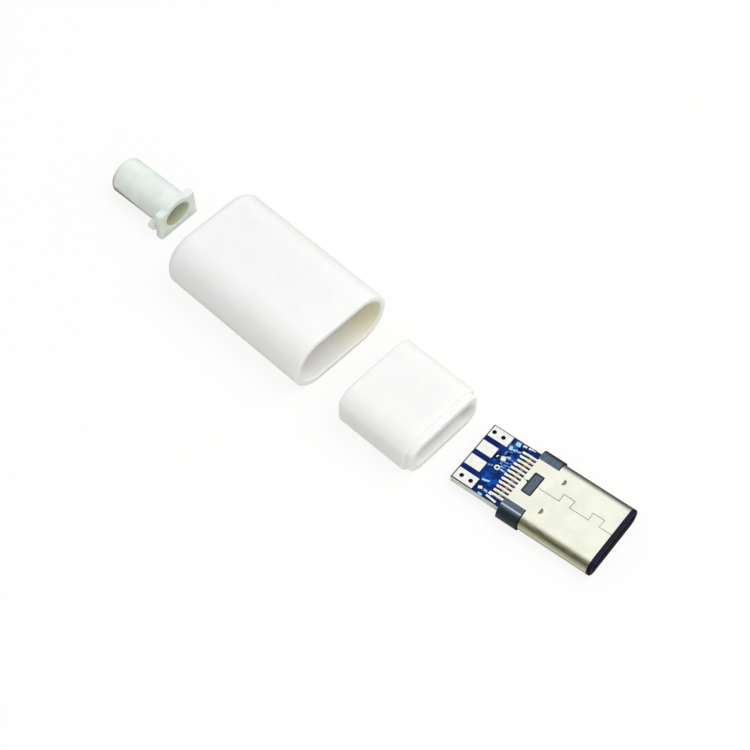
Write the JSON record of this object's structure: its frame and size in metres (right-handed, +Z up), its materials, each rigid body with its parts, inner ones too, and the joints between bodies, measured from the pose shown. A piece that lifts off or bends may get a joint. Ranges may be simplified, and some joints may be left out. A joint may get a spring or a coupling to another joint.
{
  "type": "usb-c plug",
  "caption": "Reversible cable plug taken apart on a table: soft strain relief, outer housing, inner collar, and a metal-shelled connector on a small solder board.",
  "frame": {"origin": "middle of the row's footprint, on the table", "axes": "+X along the row from the strain relief to the mating end, +Y across the row, +Z up"},
  "size_m": [0.0658, 0.0134, 0.0066],
  "materials": {
    "relief_elastomer": "translucent satin",
    "housing_plastic": "satin",
    "shell_metal": "nickel plated",
    "insulator": "matte moulded",
    "spring_metal": "bare stamped",
    "contact": "flash plated",
    "board": "solder mask over glass laminate",
    "solder": "tinned"
  },
  "bodies": {
    "root": {"strain_relief": "relief_elastomer", "outer_housing": "housing_plastic", "inner_collar": "housing_plastic", "metal_shell": "shell_metal", "rear_insulator": "insulator", "front_insulator": "insulator", "latch_plate": "spring_metal", "upper_ground_spring": "spring_metal", "lower_ground_spring": "spring_metal", "circuit_board": "board", "solder_pad_1": "solder", "solder_pad_2": "solder", "solder_pad_3": "solder", "solder_pad_4": "solder", "contact_a1": "contact", "contact_a2": "contact", "contact_a3": "contact", "contact_a4": "contact", "contact_a5": "contact", "contact_a6": "contact", "contact_a7": "contact", "contact_a8": "contact", "contact_a9": "contact", "contact_a10": "contact", "contact_a11": "contact", "contact_a12": "contact", "contact_b1": "contact", "contact_b2": "contact", "contact_b3": "contact", "contact_b4": "contact", "contact_b5": "contact", "contact_b6": "contact", "contact_b7": "contact", "contact_b8": "contact", "contact_b9": "contact", "contact_b10": "contact", "contact_b11": "contact", "contact_b12": "contact"}
  },
  "joints": []
}
